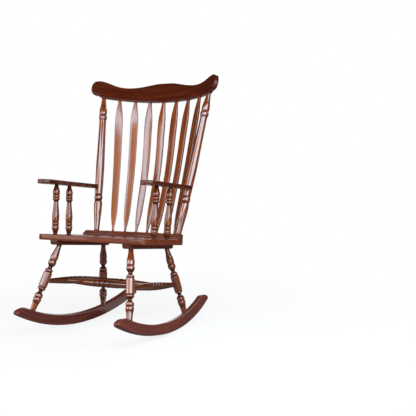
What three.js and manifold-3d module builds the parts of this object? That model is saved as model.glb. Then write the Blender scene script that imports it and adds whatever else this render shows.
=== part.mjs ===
// Boston rocking chair: an arrow-back armchair on two bow rockers, front towards -Y, in millimetres.
// The origin lies on the floor under the middle of the chair's plan.
import * as THREE from 'three';
import { mergeVertices } from 'three/addons/utils/BufferGeometryUtils.js';
import Module from 'manifold-3d';

const wasm = await Module();
wasm.setup();

// Fits and cuts
const FIT = 0.3;
const OVERRUN = 6;
const TENON_ROOT = 12;
const WIDE = 700;
const MERGE_DISTANCE = 1e-4;

// Rockers
const ROCKER_RADIUS = 893.5;
const ROCKER_DEPTH = 44;
const ROCKER_WIDTH = 26;
const ROCKER_SOFTENING = 3;
const ROCKER_FACET_ANGLE = 1.8;
const ROCKER_FRONT_FACETS = 16.5;
const ROCKER_REAR_FACETS = 11.9;
const ROCKER_NOSE_ANGLE = 2.2;
const ROCKER_TOE_IN = 4.56;
const ROCKER_CANT = 9.4;
const ROCKER_HALF_SPREAD = 235.5;

// Seat: the plank carries the riser above and the cleats below
const SEAT_TILT = 8.4;
const SEAT_HEIGHT = 380.4;
const SEAT_SETBACK = -108;
const PLANK_HALF_WIDTH = 276;
const PLANK_FRONT = -188;
const PLANK_DEPTH = 476;
const PLANK_THICKNESS = 24;
const PLANK_SOFTENING = 3;
const RISER_THICKNESS = 21;
const RISER_HORN = 138;
const RISER_HOLLOW = 56;
const RISER_SETBACK = 15;
const RISER_INSET = 3;
const CLEAT_THICKNESS = 19;
const CLEAT_WIDTH = 40;
const CLEAT_FRONT = -158;
const CLEAT_LENGTH = 348;
const CLEAT_CORNER = 12;
const CLEAT_SPREAD = 176.5;
const CLEAT_ANGLE = 2.6;
const CLEAT_SCREW_SPACING = 62;

// Legs and stretchers
const LEG_RADIUS = 18;
const LEG_TENON_RADIUS = 8;
const LEG_HEAD_DEPTH = 29;
const LEG_FOOT_TENON_RADIUS = 7;
const LEG_FOOT_DEPTH = 24;
const FRONT_LEG_MARGIN = 36;
const REAR_LEG_MARGIN = 20;
const FRONT_LEG_ANGLE = -24.35;
const REAR_LEG_ANGLE = 7.02;
const STRETCHER_RADIUS = 16.5;
const STRETCHER_TENON_RADIUS = 6;
const STRETCHER_TENON_DEPTH = 11;

// Back: crest rail, posts and spindles
const CREST_RADIUS = 525;
const CREST_HALF_WIDTH = 336;
const CREST_HEIGHT = 90;
const CREST_THICKNESS = 20;
const CREST_SOFTENING = 3.5;
const CREST_LEAN = 11.6;
const CREST_BACK = 362;
const CREST_RISE = 649;
const POST_RADIUS = 19;
const POST_SPREAD = 218;
const POST_BACK = 181;
const POST_TOP_SPREAD = 283;
const POST_FOOT_TENON_RADIUS = 8.5;
const POST_FOOT_DEPTH = 32;
const POST_HEAD_TENON_RADIUS = 6;
const POST_HEAD_DEPTH = 24;
const SPINDLE_WIDTH = 36;
const SPINDLE_THICKNESS = 10;
const SPINDLE_CORNER = 3;
const SPINDLE_BOW = 23;
const SPINDLE_TENON_RADIUS = 4.2;
const SPINDLE_FOOT_DEPTH = 15;
const SPINDLE_HEAD_DEPTH = 17;
const SPINDLE_TOP_PITCH = 72;
const SPINDLE_FOOT_PITCH = 55;
const SPINDLE_BACK = 265;

// Arms and their posts
const ARM_THICKNESS = 19;
const ARM_RISE = 237;
const ARM_SOFTENING = 3;
const ARM_FRONT = -166;
const ARM_LENGTH = 367;
const ARM_FRONT_SPREAD = 262;
const ARM_WIDTH = 74;
const ARM_TENON_RADIUS = 5.5;
const ARM_TENON_DEPTH = 12;
const ARM_TENON_ROOT = 34;
const ARM_POST_RADIUS = 15.5;
const ARM_POST_TENON_RADIUS = 6;
const ARM_POST_FOOT_DEPTH = 16;
const ARM_POST_HEAD_DEPTH = 12;
const ARM_POSTS = { front: { back: -67.5, foot: 253, head: 257 }, rear: { back: 28, foot: 255, head: 263 } };

// Cleat screws
const SCREW_HEAD_RADIUS = 4.5;
const SCREW_SHANK_RADIUS = 2.2;
const SCREW_LENGTH = 32;
const SCREW_SINK = 4;
const SCREW_RIM = 1;
const SCREW_RECESS = 0.4;
const SCREW_SLOT = 1.2;
const SCREW_SLOT_DEPTH = 1.5;

// Facets of turned and lofted shapes
const TURNED_SIDES = 10;
const SLIM_SIDES = 8;
const PEG_SIDES = 8;
const OUTLINE_STEPS = 44;
const OUTLINE_SAMPLES = 350;
const RISER_REAR_STEPS = 22;
const RISER_FRONT_STEPS = 10;
const ROCKER_TOP_STEPS = 18;
const CREST_STEPS = 26;
const ARM_STEPS = 28;
const CLEAT_CORNER_STEPS = 5;

// End of a rocker: share of its depth from the bottom, reach past the arc as a share of the nose angle
const ROCKER_NOSE_SHARES = [
  [0.08, 0.26], [0.2, 0.3], [0.4, 0.18], [0.62, -0.12], [0.82, -0.5], [0.95, -0.9], [1, -1.15],
];

// Half plan of the seat plank: share of the half width, share of the depth from the front
const PLANK_SHARES = [
  [0, 0], [0.22, 0.002], [0.44, 0.006], [0.66, 0.013], [0.82, 0.022], [0.91, 0.04], [0.97, 0.075],
  [0.995, 0.125], [0.992, 0.2], [0.98, 0.3], [0.974, 0.4], [0.982, 0.5], [0.998, 0.58], [0.988, 0.645],
  [0.938, 0.712], [0.87, 0.775], [0.786, 0.836], [0.7, 0.885], [0.58, 0.928], [0.44, 0.958],
  [0.3, 0.98], [0.15, 0.995], [0, 1],
];

// Edge of the riser: share of its height, of the front setback, of the rear inset
const RISER_EDGE_SHARES = [
  [0, 0, 0], [0.42, 0, 0], [0.47, 0.3, 0], [0.58, 0.52, 0], [0.76, 0.62, 0], [0.92, 0.76, 0.4], [1, 1, 1],
];

// Turnings: share of the length, share of the largest radius
const LEG_SHARES = [
  [0, 0.52], [0.1, 0.7], [0.19, 0.9], [0.24, 0.78], [0.262, 0.9], [0.288, 0.92], [0.347, 0.47],
  [0.37, 0.66], [0.38, 0.86], [0.402, 0.88], [0.414, 0.82], [0.425, 1], [0.64, 1], [0.652, 0.92],
  [0.676, 0.9], [0.714, 0.42], [0.745, 0.72], [0.77, 0.95], [0.8, 0.82], [0.825, 0.92],
  [0.855, 0.93], [0.93, 0.7], [1, 0.63],
];
const STRETCHER_SHARES = [
  [0, 0.52], [0.12, 0.66], [0.26, 0.84], [0.4, 0.97], [0.412, 0.84], [0.43, 0.99], [0.455, 0.99],
  [0.471, 0.84], [0.487, 1], [0.513, 1], [0.529, 0.84], [0.545, 0.99], [0.57, 0.99], [0.588, 0.84],
  [0.6, 0.97], [0.74, 0.84], [0.88, 0.66], [1, 0.52],
];
const POST_SHARES = [
  [0, 0.62], [0.07, 0.74], [0.13, 0.9], [0.185, 0.96], [0.212, 0.93], [0.224, 0.8], [0.236, 0.96],
  [0.25, 0.96], [0.262, 0.87], [0.34, 0.95], [0.46, 1], [0.6, 0.93], [0.8, 0.82], [0.834, 0.82],
  [0.845, 0.95], [0.862, 0.95], [0.872, 0.88], [0.9, 0.92], [0.95, 0.64], [1, 0.47],
];
const ARM_POST_SHARES = [
  [0, 0.58], [0.03, 0.62], [0.08, 0.84], [0.125, 0.99], [0.165, 0.94], [0.178, 0.8], [0.2, 0.95],
  [0.22, 0.96], [0.24, 0.84], [0.34, 1], [0.48, 0.86], [0.66, 0.68], [0.693, 0.97], [0.722, 0.98],
  [0.738, 0.84], [0.754, 0.98], [0.782, 0.96], [0.8, 0.84], [0.85, 1], [0.92, 0.78], [1, 0.5],
];

// Side stretchers on the legs, cross stretchers on the side stretchers: shares of the carrying length
const FRONT_LEG_STRETCHER_SHARE = 0.555;
const REAR_LEG_STRETCHER_SHARE = 0.56;
const CROSS_STRETCHER_SHARES = { front: 0.31, rear: 0.64 };

// Half outline of the crest: share of the half width, bottom and top share of the height
const CREST_SHARES = [
  [0, 0, 1], [0.11, 0, 0.99], [0.22, 0, 0.92], [0.35, 0, 0.81], [0.47, 0, 0.725], [0.57, 0, 0.685],
  [0.68, 0, 0.705], [0.77, 0, 0.785], [0.845, 0, 0.87], [0.87, 0.01, 0.885], [0.89, 0.06, 0.89],
  [0.91, 0.09, 0.885], [0.94, 0.1, 0.855], [0.97, 0.13, 0.78], [0.99, 0.21, 0.66], [1, 0.34, 0.5],
];

// Spindles: share of the height, share of the width, share of the bow
const SPINDLE_SHARES = [
  [0, 0.26, 0], [0.025, 0.28, 0.07], [0.05, 0.42, 0.14], [0.075, 0.56, 0.2], [0.105, 0.68, 0.28],
  [0.15, 0.79, 0.39], [0.24, 0.86, 0.59], [0.35, 0.89, 0.83], [0.46, 0.93, 0.98], [0.6, 0.97, 0.82],
  [0.72, 1, 0.48], [0.83, 1, 0.2], [0.88, 0.92, 0.11], [0.93, 0.72, 0.05], [0.965, 0.54, 0.02],
  [1, 0.4, 0],
];
const SPINDLE_BOW_SHARES = [1, 0.86, 0.46, 0.22];
const SPINDLE_FORWARD_SHARES = [0, 0.021, 0.056, 0.121];

// Half plan of the arm: share of the length from the front, outer and inner share of the width
const ARM_SHARES = [
  [0, 0.12, 0.12], [0.012, 0.3, 0.3], [0.045, 0.43, 0.42], [0.1, 0.49, 0.48], [0.17, 0.48, 0.47],
  [0.27, 0.4, 0.39], [0.38, 0.325, 0.32], [0.55, 0.29, 0.285], [0.78, 0.26, 0.25], [1, 0.22, 0.2],
];
const ARM_REAR_SPREAD = 248;

// Woods and metal
const FINISHES = {
  seat: { color: 0x5a2616, roughness: 0.32 },
  turned: { color: 0x7d3c1e, roughness: 0.28 },
  rocker: { color: 0x4c2018, roughness: 0.32 },
  flat: { color: 0x6b2f1a, roughness: 0.3 },
  steel: { color: 0x8c8a86, roughness: 0.4, metalness: 0.9 },
};

// Solid from a closed geometry
function solid(geometry) {
  const bare = geometry.clone();
  bare.deleteAttribute('normal');
  bare.deleteAttribute('uv');
  const merged = mergeVertices(bare, MERGE_DISTANCE);
  const index = Array.from(merged.index.array);
  const faces = [];
  for (let i = 0; i < index.length; i += 3) {
    const [a, b, c] = index.slice(i, i + 3);
    if (a !== b && b !== c && c !== a) faces.push(a, b, c);
  }
  const vertProperties = new Float32Array(merged.attributes.position.array);
  return new wasm.Manifold(new wasm.Mesh({ numProp: 3, vertProperties, triVerts: new Uint32Array(faces) }));
}

// Geometry from a solid
function geometryOf(body) {
  const mesh = body.getMesh();
  const geometry = new THREE.BufferGeometry();
  geometry.setAttribute('position', new THREE.BufferAttribute(new Float32Array(mesh.vertProperties), 3));
  geometry.setIndex(new THREE.BufferAttribute(new Uint32Array(mesh.triVerts), 1));
  geometry.computeVertexNormals();
  return geometry;
}

// Matrix that carries the Y axis from one point towards another
function axisMatrix(from, to) {
  const direction = to.clone().sub(from).normalize();
  const turn = new THREE.Quaternion().setFromUnitVectors(new THREE.Vector3(0, 1, 0), direction);
  return new THREE.Matrix4().compose(from, turn, new THREE.Vector3(1, 1, 1));
}

// Turned body between two points, running past both ends so that it can be scribed
function turning(from, to, shares, radius, sides, extra = 0) {
  const length = from.distanceTo(to);
  const profile = shares.map(([along, across]) => new THREE.Vector2(across * radius + extra, along * length));
  const first = profile[0];
  const last = profile[profile.length - 1];
  const points = [
    new THREE.Vector2(0, -OVERRUN), new THREE.Vector2(first.x, -OVERRUN), ...profile,
    new THREE.Vector2(last.x, length + OVERRUN), new THREE.Vector2(0, length + OVERRUN),
  ];
  return solid(new THREE.LatheGeometry(points, sides).applyMatrix4(axisMatrix(from, to)));
}

// Round peg between two points
function peg(from, to, radius) {
  const length = from.distanceTo(to);
  const shape = new THREE.CylinderGeometry(radius, radius, length, PEG_SIDES);
  return solid(shape.translate(0, length / 2, 0).applyMatrix4(axisMatrix(from, to)));
}

// Point past "to" on the line from "from", by a length
function beyond(from, to, length) {
  return to.clone().add(to.clone().sub(from).normalize().multiplyScalar(length));
}

// Tenon that starts inside the body and ends in the carrying piece, and the socket cut for it
function tenonPair(inside, mouth, depth, radius) {
  const tip = beyond(inside, mouth, depth);
  return {
    tenon: peg(beyond(inside, mouth, -TENON_ROOT), tip, radius),
    socket: peg(beyond(tip, mouth, OVERRUN), beyond(mouth, tip, FIT), radius + FIT),
  };
}

// Flat slab in a frame, between two heights
function slab(frame, low, high) {
  const box = new THREE.BoxGeometry(2 * WIDE, 2 * WIDE, high - low).translate(0, 0, (low + high) / 2);
  return solid(box.applyMatrix4(frame));
}

// Closed skin over rings of equal count, capped at both ends
function loft(rings, flatten) {
  const count = rings[0].length;
  const positions = rings.flat().flatMap((p) => [p.x, p.y, p.z]);
  const faces = [];
  for (let k = 0; k + 1 < rings.length; k += 1) {
    for (let i = 0; i < count; i += 1) {
      const a = k * count + i;
      const b = k * count + ((i + 1) % count);
      faces.push(a, b, b + count, a, b + count, a + count);
    }
  }
  const top = (rings.length - 1) * count;
  const lower = THREE.ShapeUtils.triangulateShape(rings[0].map(flatten), []);
  const upper = THREE.ShapeUtils.triangulateShape(rings[rings.length - 1].map(flatten), []);
  lower.forEach(([a, b, c]) => faces.push(a, c, b));
  upper.forEach(([a, b, c]) => faces.push(top + a, top + b, top + c));
  const geometry = new THREE.BufferGeometry();
  geometry.setAttribute('position', new THREE.Float32BufferAttribute(positions, 3));
  geometry.setIndex(faces);
  return solid(geometry);
}

// Plate of a plan outline with softened edges, between two heights in its own frame
function plate(outline, low, high, softening, frame) {
  const shape = new THREE.Shape(outline);
  const geometry = new THREE.ExtrudeGeometry(shape, {
    depth: high - low - 2 * softening,
    steps: 1,
    bevelEnabled: true,
    bevelThickness: softening,
    bevelSize: softening,
    bevelOffset: -softening,
    bevelSegments: 1,
  });
  return solid(geometry.translate(0, 0, low + softening).applyMatrix4(frame));
}

// Value of a table at a share, by its column
function tableAt(table, share, column) {
  const k = Math.max(1, table.findIndex(([s]) => s >= share));
  const [from, to] = [table[k - 1], table[k]];
  return THREE.MathUtils.mapLinear(share, from[0], to[0], from[column], to[column]);
}

const radians = THREE.MathUtils.degToRad;
const vector = (x, y, z) => new THREE.Vector3(x, y, z);

// Turn that stands a side view on edge: drawn along Y and Z, thick along X from an offset
const onEdge = (offset) => new THREE.Matrix4().set(0, 0, 1, offset, 1, 0, 0, 0, 0, 1, 0, 0, 0, 0, 0, 1);

// Frame of the seat: x across, y back along the plank, z square to it from the plank's underside
const seatFrame = new THREE.Matrix4()
  .makeRotationX(-radians(SEAT_TILT))
  .setPosition(0, SEAT_SETBACK, SEAT_HEIGHT);
const onSeat = (x, y, z) => vector(x, y, z).applyMatrix4(seatFrame);
const PLANK_TOP = PLANK_THICKNESS;
const RISER_BOTTOM = PLANK_TOP + FIT;
const RISER_TOP = RISER_BOTTOM + RISER_THICKNESS;
const CLEAT_TOP = -FIT;
const CLEAT_BOTTOM = CLEAT_TOP - CLEAT_THICKNESS;
const ARM_TOP = ARM_RISE + ARM_THICKNESS;

// Frame of the crest: x across, y square to its face, z up along its lean
const crestFrame = new THREE.Matrix4()
  .makeRotationX(-radians(CREST_LEAN))
  .setPosition(0, CREST_BACK, CREST_RISE)
  .premultiply(seatFrame);
const onCrest = (x, depth, rise) => {
  const angle = Math.asin(x / CREST_RADIUS);
  const radius = CREST_RADIUS + depth;
  const back = radius * Math.cos(angle) - CREST_RADIUS;
  return vector(radius * Math.sin(angle), back, rise).applyMatrix4(crestFrame);
};

// Frame of the left rocker: x across, y back along it, z up along its cant, which follows the legs' splay
const rockerFrame = new THREE.Matrix4()
  .makeRotationZ(radians(ROCKER_TOE_IN))
  .multiply(new THREE.Matrix4().makeRotationY(-radians(ROCKER_CANT)))
  .setPosition(ROCKER_HALF_SPREAD, 0, 0);
const onArc = (angle, radius) => new THREE.Vector2(
  radius * Math.sin(radians(angle)),
  ROCKER_RADIUS - radius * Math.cos(radians(angle)),
);
const onRocker = (angle, radius) => {
  const point = onArc(angle, radius);
  return vector(0, point.x, point.y).applyMatrix4(rockerFrame);
};

// Rocker blank, grown by a margin on every face
function rockerSolid(margin) {
  const outer = ROCKER_RADIUS + margin;
  const inner = ROCKER_RADIUS - ROCKER_DEPTH - margin;
  const front = -ROCKER_FRONT_FACETS * ROCKER_FACET_ANGLE;
  const rear = ROCKER_REAR_FACETS * ROCKER_FACET_ANGLE;
  const nose = (end) => ROCKER_NOSE_SHARES.map(([rise, reach]) => onArc(
    end + Math.sign(end) * reach * ROCKER_NOSE_ANGLE,
    THREE.MathUtils.lerp(outer, inner, rise),
  ));
  const outline = [];
  for (let angle = front; angle < rear; angle += ROCKER_FACET_ANGLE) outline.push(onArc(angle, outer));
  outline.push(onArc(rear, outer), ...nose(rear));
  const trim = ROCKER_NOSE_SHARES[ROCKER_NOSE_SHARES.length - 1][1] * ROCKER_NOSE_ANGLE;
  for (let k = 1; k < ROCKER_TOP_STEPS; k += 1) {
    outline.push(onArc(THREE.MathUtils.lerp(rear + trim, front - trim, k / ROCKER_TOP_STEPS), inner));
  }
  outline.push(...nose(front).reverse());
  const halfWidth = ROCKER_WIDTH / 2 + margin;
  return plate(outline, -halfWidth, halfWidth, ROCKER_SOFTENING, onEdge(0).premultiply(rockerFrame));
}

// Plan outline of the seat plank, drawn right round
function plankCurve() {
  const half = PLANK_SHARES.map(([across, along]) => (
    vector(across * PLANK_HALF_WIDTH, PLANK_FRONT + along * PLANK_DEPTH, 0)
  ));
  const other = half.slice(1, -1).reverse().map((p) => vector(-p.x, p.y, 0));
  return new THREE.CatmullRomCurve3([...half, ...other], true);
}

// Rear arc of the seat outline between the riser's horns, moved in by an inset
function rearArc(hornBack, inset) {
  const dense = plankCurve().getSpacedPoints(OUTLINE_SAMPLES).filter((p) => p.y > hornBack);
  const right = dense.filter((p) => p.x >= 0).sort((a, b) => a.y - b.y);
  const run = [...right, ...right.slice().reverse().map((p) => vector(-p.x, p.y, 0))];
  const curve = new THREE.CatmullRomCurve3(run.filter((p, i) => i === 0 || p.distanceTo(run[i - 1]) > FIT));
  const points = curve.getSpacedPoints(RISER_REAR_STEPS);
  return points.map((p, i) => {
    const tangent = curve.getTangentAt(i / RISER_REAR_STEPS);
    return new THREE.Vector2(p.x - tangent.y * inset, p.y + tangent.x * inset);
  });
}

// Riser: a crescent whose front edge is coved and whose rear edge is rounded over
function riserSolid() {
  const rings = RISER_EDGE_SHARES.map(([rise, setback, inset]) => {
    const hornBack = RISER_HORN + setback * RISER_SETBACK;
    const rear = rearArc(hornBack, inset * RISER_INSET);
    const [start, end] = [rear[0], rear[rear.length - 1]];
    const front = [];
    for (let k = 1; k < RISER_FRONT_STEPS; k += 1) {
      const x = THREE.MathUtils.lerp(end.x, start.x, k / RISER_FRONT_STEPS);
      const share = 1 - (x / start.x) ** 2;
      front.push(new THREE.Vector2(x, start.y + RISER_HOLLOW * share));
    }
    return [...rear, ...front].map((p) => onSeat(p.x, p.y, RISER_BOTTOM + rise * RISER_THICKNESS));
  });
  return loft(rings, (p) => new THREE.Vector2(p.x, p.y));
}

// Cleat under the left side of the seat
const cleatFrame = new THREE.Matrix4()
  .makeRotationZ(radians(CLEAT_ANGLE))
  .setPosition(CLEAT_SPREAD, 0, 0)
  .premultiply(seatFrame);
const onCleat = (x, y, z) => vector(x, y, z).applyMatrix4(cleatFrame);
function cleatSolid() {
  const shape = new THREE.Shape();
  const rear = CLEAT_FRONT + CLEAT_LENGTH;
  shape.moveTo(CLEAT_FRONT, CLEAT_TOP);
  shape.lineTo(CLEAT_FRONT, CLEAT_BOTTOM + CLEAT_CORNER);
  shape.quadraticCurveTo(CLEAT_FRONT, CLEAT_BOTTOM, CLEAT_FRONT + CLEAT_CORNER, CLEAT_BOTTOM);
  shape.lineTo(rear - CLEAT_CORNER, CLEAT_BOTTOM);
  shape.quadraticCurveTo(rear, CLEAT_BOTTOM, rear, CLEAT_BOTTOM + CLEAT_CORNER);
  shape.lineTo(rear, CLEAT_TOP);
  const geometry = new THREE.ExtrudeGeometry(shape, {
    depth: CLEAT_WIDTH,
    curveSegments: CLEAT_CORNER_STEPS,
    bevelEnabled: false,
  });
  return solid(geometry.applyMatrix4(onEdge(-CLEAT_WIDTH / 2)).applyMatrix4(cleatFrame));
}

// Crest rail: a bent board with a humped top edge and rounded ears
function crestSolid() {
  const half = CREST_THICKNESS / 2;
  const soft = CREST_SOFTENING;
  const rings = [];
  for (let k = 0; k <= CREST_STEPS; k += 1) {
    const along = -Math.cos((Math.PI * k) / CREST_STEPS);
    const bottom = tableAt(CREST_SHARES, Math.abs(along), 1) * CREST_HEIGHT;
    const top = tableAt(CREST_SHARES, Math.abs(along), 2) * CREST_HEIGHT;
    const section = [
      [-half + soft, bottom], [half - soft, bottom], [half, bottom + soft], [half, top - soft],
      [half - soft, top], [-half + soft, top], [-half, top - soft], [-half, bottom + soft],
    ];
    rings.push(section.map(([depth, rise]) => onCrest(along * CREST_HALF_WIDTH, depth, rise)));
  }
  return loft(rings, (p) => new THREE.Vector2(p.y, p.z));
}

// Spindle blank: flat, bowed back, swelling from a round foot to a leaf head
function spindleSolid(place) {
  const order = Math.abs(place);
  const foot = vector(
    place * SPINDLE_FOOT_PITCH,
    SPINDLE_BACK - SPINDLE_FORWARD_SHARES[order] * SPINDLE_BACK,
    RISER_TOP,
  );
  const head = onCrest(place * SPINDLE_TOP_PITCH, 0, 0).applyMatrix4(seatFrame.clone().invert());
  const yaw = Math.asin((place * SPINDLE_TOP_PITCH) / CREST_RADIUS);
  const bow = SPINDLE_BOW * SPINDLE_BOW_SHARES[order];
  const rise = head.clone().sub(foot).normalize();
  const across = vector(Math.cos(yaw), -Math.sin(yaw), 0);
  const out = rise.clone().cross(across).normalize();
  across.crossVectors(out, rise).normalize();
  const half = SPINDLE_THICKNESS / 2;
  const flat = half - SPINDLE_CORNER;
  const section = (centre, share) => {
    const edge = (share * SPINDLE_WIDTH) / 2;
    const face = edge - SPINDLE_CORNER;
    const corners = [
      [edge, -flat], [edge, flat], [face, half], [-face, half],
      [-edge, flat], [-edge, -flat], [-face, -half], [face, -half],
    ];
    return corners.map(([x, y]) => centre.clone().addScaledVector(across, x).addScaledVector(out, y)
      .applyMatrix4(seatFrame));
  };
  const rings = SPINDLE_SHARES.map(([share, width, bend]) => {
    const centre = foot.clone().lerp(head, share);
    centre.y += bow * bend;
    return section(centre, width);
  });
  const [footShare, headShare] = [SPINDLE_SHARES[0][1], SPINDLE_SHARES[SPINDLE_SHARES.length - 1][1]];
  rings.unshift(section(foot.clone().addScaledVector(rise, -OVERRUN), footShare));
  rings.push(section(head.clone().addScaledVector(rise, OVERRUN), headShare));
  const body = loft(rings, (p) => new THREE.Vector2(p.x, p.y));
  return { body, foot: foot.applyMatrix4(seatFrame), head: head.applyMatrix4(seatFrame) };
}

// Arm: a paddle that narrows to the back post
function armOutline() {
  const side = (column, sign) => ARM_SHARES.map((row) => {
    const centre = THREE.MathUtils.lerp(ARM_FRONT_SPREAD, ARM_REAR_SPREAD, row[0]);
    return vector(centre + sign * row[column] * ARM_WIDTH, ARM_FRONT + row[0] * ARM_LENGTH, 0);
  });
  const outer = new THREE.CatmullRomCurve3(side(1, 1)).getSpacedPoints(ARM_STEPS / 2);
  const inner = new THREE.CatmullRomCurve3(side(2, -1)).getSpacedPoints(ARM_STEPS / 2);
  return [...outer, ...inner.reverse()].map((p) => new THREE.Vector2(p.x, p.y));
}

// Wood screw with a countersunk slotted head, driven up from a cleat
function screwSolid(y) {
  const neck = CLEAT_BOTTOM + SCREW_SINK;
  const point = CLEAT_BOTTOM + SCREW_LENGTH;
  const turn = (grow, start) => {
    const points = [
      [0, start], [SCREW_HEAD_RADIUS + grow, start], [SCREW_HEAD_RADIUS + grow, CLEAT_BOTTOM + SCREW_RIM],
      [SCREW_SHANK_RADIUS + grow, neck], [SCREW_SHANK_RADIUS + grow, point - SCREW_SINK], [0, point + grow],
    ].map(([radius, rise]) => new THREE.Vector2(radius, rise));
    const upright = new THREE.LatheGeometry(points, PEG_SIDES).rotateX(Math.PI / 2).translate(0, y, 0);
    return solid(upright.applyMatrix4(cleatFrame));
  };
  const slot = new THREE.BoxGeometry(2 * (SCREW_HEAD_RADIUS + OVERRUN), SCREW_SLOT, 2 * SCREW_SLOT_DEPTH);
  const cut = solid(slot.translate(0, y, CLEAT_BOTTOM).applyMatrix4(cleatFrame));
  return {
    body: turn(0, CLEAT_BOTTOM + SCREW_RECESS).subtract(cut),
    hole: turn(FIT, CLEAT_BOTTOM - OVERRUN),
  };
}

// Carrying pieces, in which the sockets are then cut
let plank = plate(
  plankCurve().getSpacedPoints(OUTLINE_STEPS).slice(0, -1).map((p) => new THREE.Vector2(p.x, p.y)),
  0, PLANK_TOP, PLANK_SOFTENING, seatFrame,
);
let riser = riserSolid();
let crest = crestSolid();
let cleat = cleatSolid();
let rocker = rockerSolid(0);
const bothSides = (piece) => [piece, piece.mirror([1, 0, 0])];
const cutBoth = (piece, tool) => bothSides(tool).reduce((body, cut) => body.subtract(cut), piece);

// Legs
const frontHead = CLEAT_FRONT + FRONT_LEG_MARGIN;
const rearHead = CLEAT_FRONT + CLEAT_LENGTH - REAR_LEG_MARGIN;
const LEGS = {
  front: { head: frontHead, angle: FRONT_LEG_ANGLE, share: FRONT_LEG_STRETCHER_SHARE },
  rear: { head: rearHead, angle: REAR_LEG_ANGLE, share: REAR_LEG_STRETCHER_SHARE },
};
const aboveCleat = slab(seatFrame, CLEAT_BOTTOM - FIT, CLEAT_BOTTOM + WIDE / 2);
const rockerGrown = rockerSolid(FIT);
const legs = {};
for (const [place, { head, angle, share }] of Object.entries(LEGS)) {
  const top = onCleat(0, head, CLEAT_BOTTOM);
  const foot = onRocker(angle, ROCKER_RADIUS - ROCKER_DEPTH);
  const body = turning(top, foot, LEG_SHARES, LEG_RADIUS, TURNED_SIDES);
  const upper = tenonPair(foot, top, LEG_HEAD_DEPTH, LEG_TENON_RADIUS);
  const lower = tenonPair(top, foot, LEG_FOOT_DEPTH, LEG_FOOT_TENON_RADIUS);
  legs[place] = {
    joint: top.clone().lerp(foot, share),
    grown: turning(top, foot, LEG_SHARES, LEG_RADIUS, TURNED_SIDES, FIT),
    solid: body.subtract(aboveCleat).subtract(rockerGrown).add(upper.tenon).add(lower.tenon),
  };
  cleat = cleat.subtract(upper.socket);
  plank = cutBoth(plank, upper.socket);
  rocker = rocker.subtract(lower.socket);
}

// Side stretcher, and cross stretchers between the two sides
const sideEnds = [legs.front.joint, legs.rear.joint];
const sideGrown = turning(...sideEnds, STRETCHER_SHARES, STRETCHER_RADIUS, SLIM_SIDES, FIT);
let side = turning(...sideEnds, STRETCHER_SHARES, STRETCHER_RADIUS, SLIM_SIDES);
for (const [from, to, place] of [[...sideEnds.slice().reverse(), 'front'], [...sideEnds, 'rear']]) {
  const mouth = beyond(from, to, -LEG_RADIUS);
  const joint = tenonPair(from, mouth, STRETCHER_TENON_DEPTH, STRETCHER_TENON_RADIUS);
  side = side.subtract(legs[place].grown).add(joint.tenon);
  legs[place].solid = legs[place].solid.subtract(joint.socket);
}
const crosses = {};
for (const [place, share] of Object.entries(CROSS_STRETCHER_SHARES)) {
  const end = sideEnds[0].clone().lerp(sideEnds[1], share);
  const farEnd = vector(-end.x, end.y, end.z);
  const sideRadius = STRETCHER_RADIUS * tableAt(STRETCHER_SHARES, share, 1);
  const mouth = beyond(farEnd, end, -sideRadius);
  const joint = tenonPair(farEnd, mouth, STRETCHER_TENON_DEPTH, STRETCHER_TENON_RADIUS);
  const body = cutBoth(turning(farEnd, end, STRETCHER_SHARES, STRETCHER_RADIUS, SLIM_SIDES), sideGrown);
  crosses[place] = bothSides(joint.tenon).reduce((sum, tenon) => sum.add(tenon), body);
  side = side.subtract(joint.socket);
}

// Back post
const aboveRiser = slab(seatFrame, RISER_TOP - WIDE / 2, RISER_TOP + FIT);
const aboveCrest = slab(crestFrame, -FIT, WIDE / 2);
const postFoot = onSeat(POST_SPREAD, POST_BACK, RISER_TOP);
const postHead = onCrest(POST_TOP_SPREAD, 0, 0);
const postFootJoint = tenonPair(postHead, postFoot, POST_FOOT_DEPTH, POST_FOOT_TENON_RADIUS);
const postHeadJoint = tenonPair(postFoot, postHead, POST_HEAD_DEPTH, POST_HEAD_TENON_RADIUS);
const postGrown = turning(postFoot, postHead, POST_SHARES, POST_RADIUS, TURNED_SIDES, FIT);
let post = turning(postFoot, postHead, POST_SHARES, POST_RADIUS, TURNED_SIDES)
  .subtract(aboveRiser).subtract(aboveCrest).add(postFootJoint.tenon).add(postHeadJoint.tenon);
riser = cutBoth(riser, postFootJoint.socket);
plank = cutBoth(plank, postFootJoint.socket);
crest = cutBoth(crest, postHeadJoint.socket);

// Spindles
const spindles = [];
for (let place = 1 - SPINDLE_BOW_SHARES.length; place < SPINDLE_BOW_SHARES.length; place += 1) {
  const { body, foot, head } = spindleSolid(place);
  const lower = tenonPair(head, foot, SPINDLE_FOOT_DEPTH, SPINDLE_TENON_RADIUS);
  const upper = tenonPair(foot, head, SPINDLE_HEAD_DEPTH, SPINDLE_TENON_RADIUS);
  spindles.push(body.subtract(aboveRiser).subtract(aboveCrest).add(lower.tenon).add(upper.tenon));
  riser = riser.subtract(lower.socket);
  crest = crest.subtract(upper.socket);
}

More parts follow.
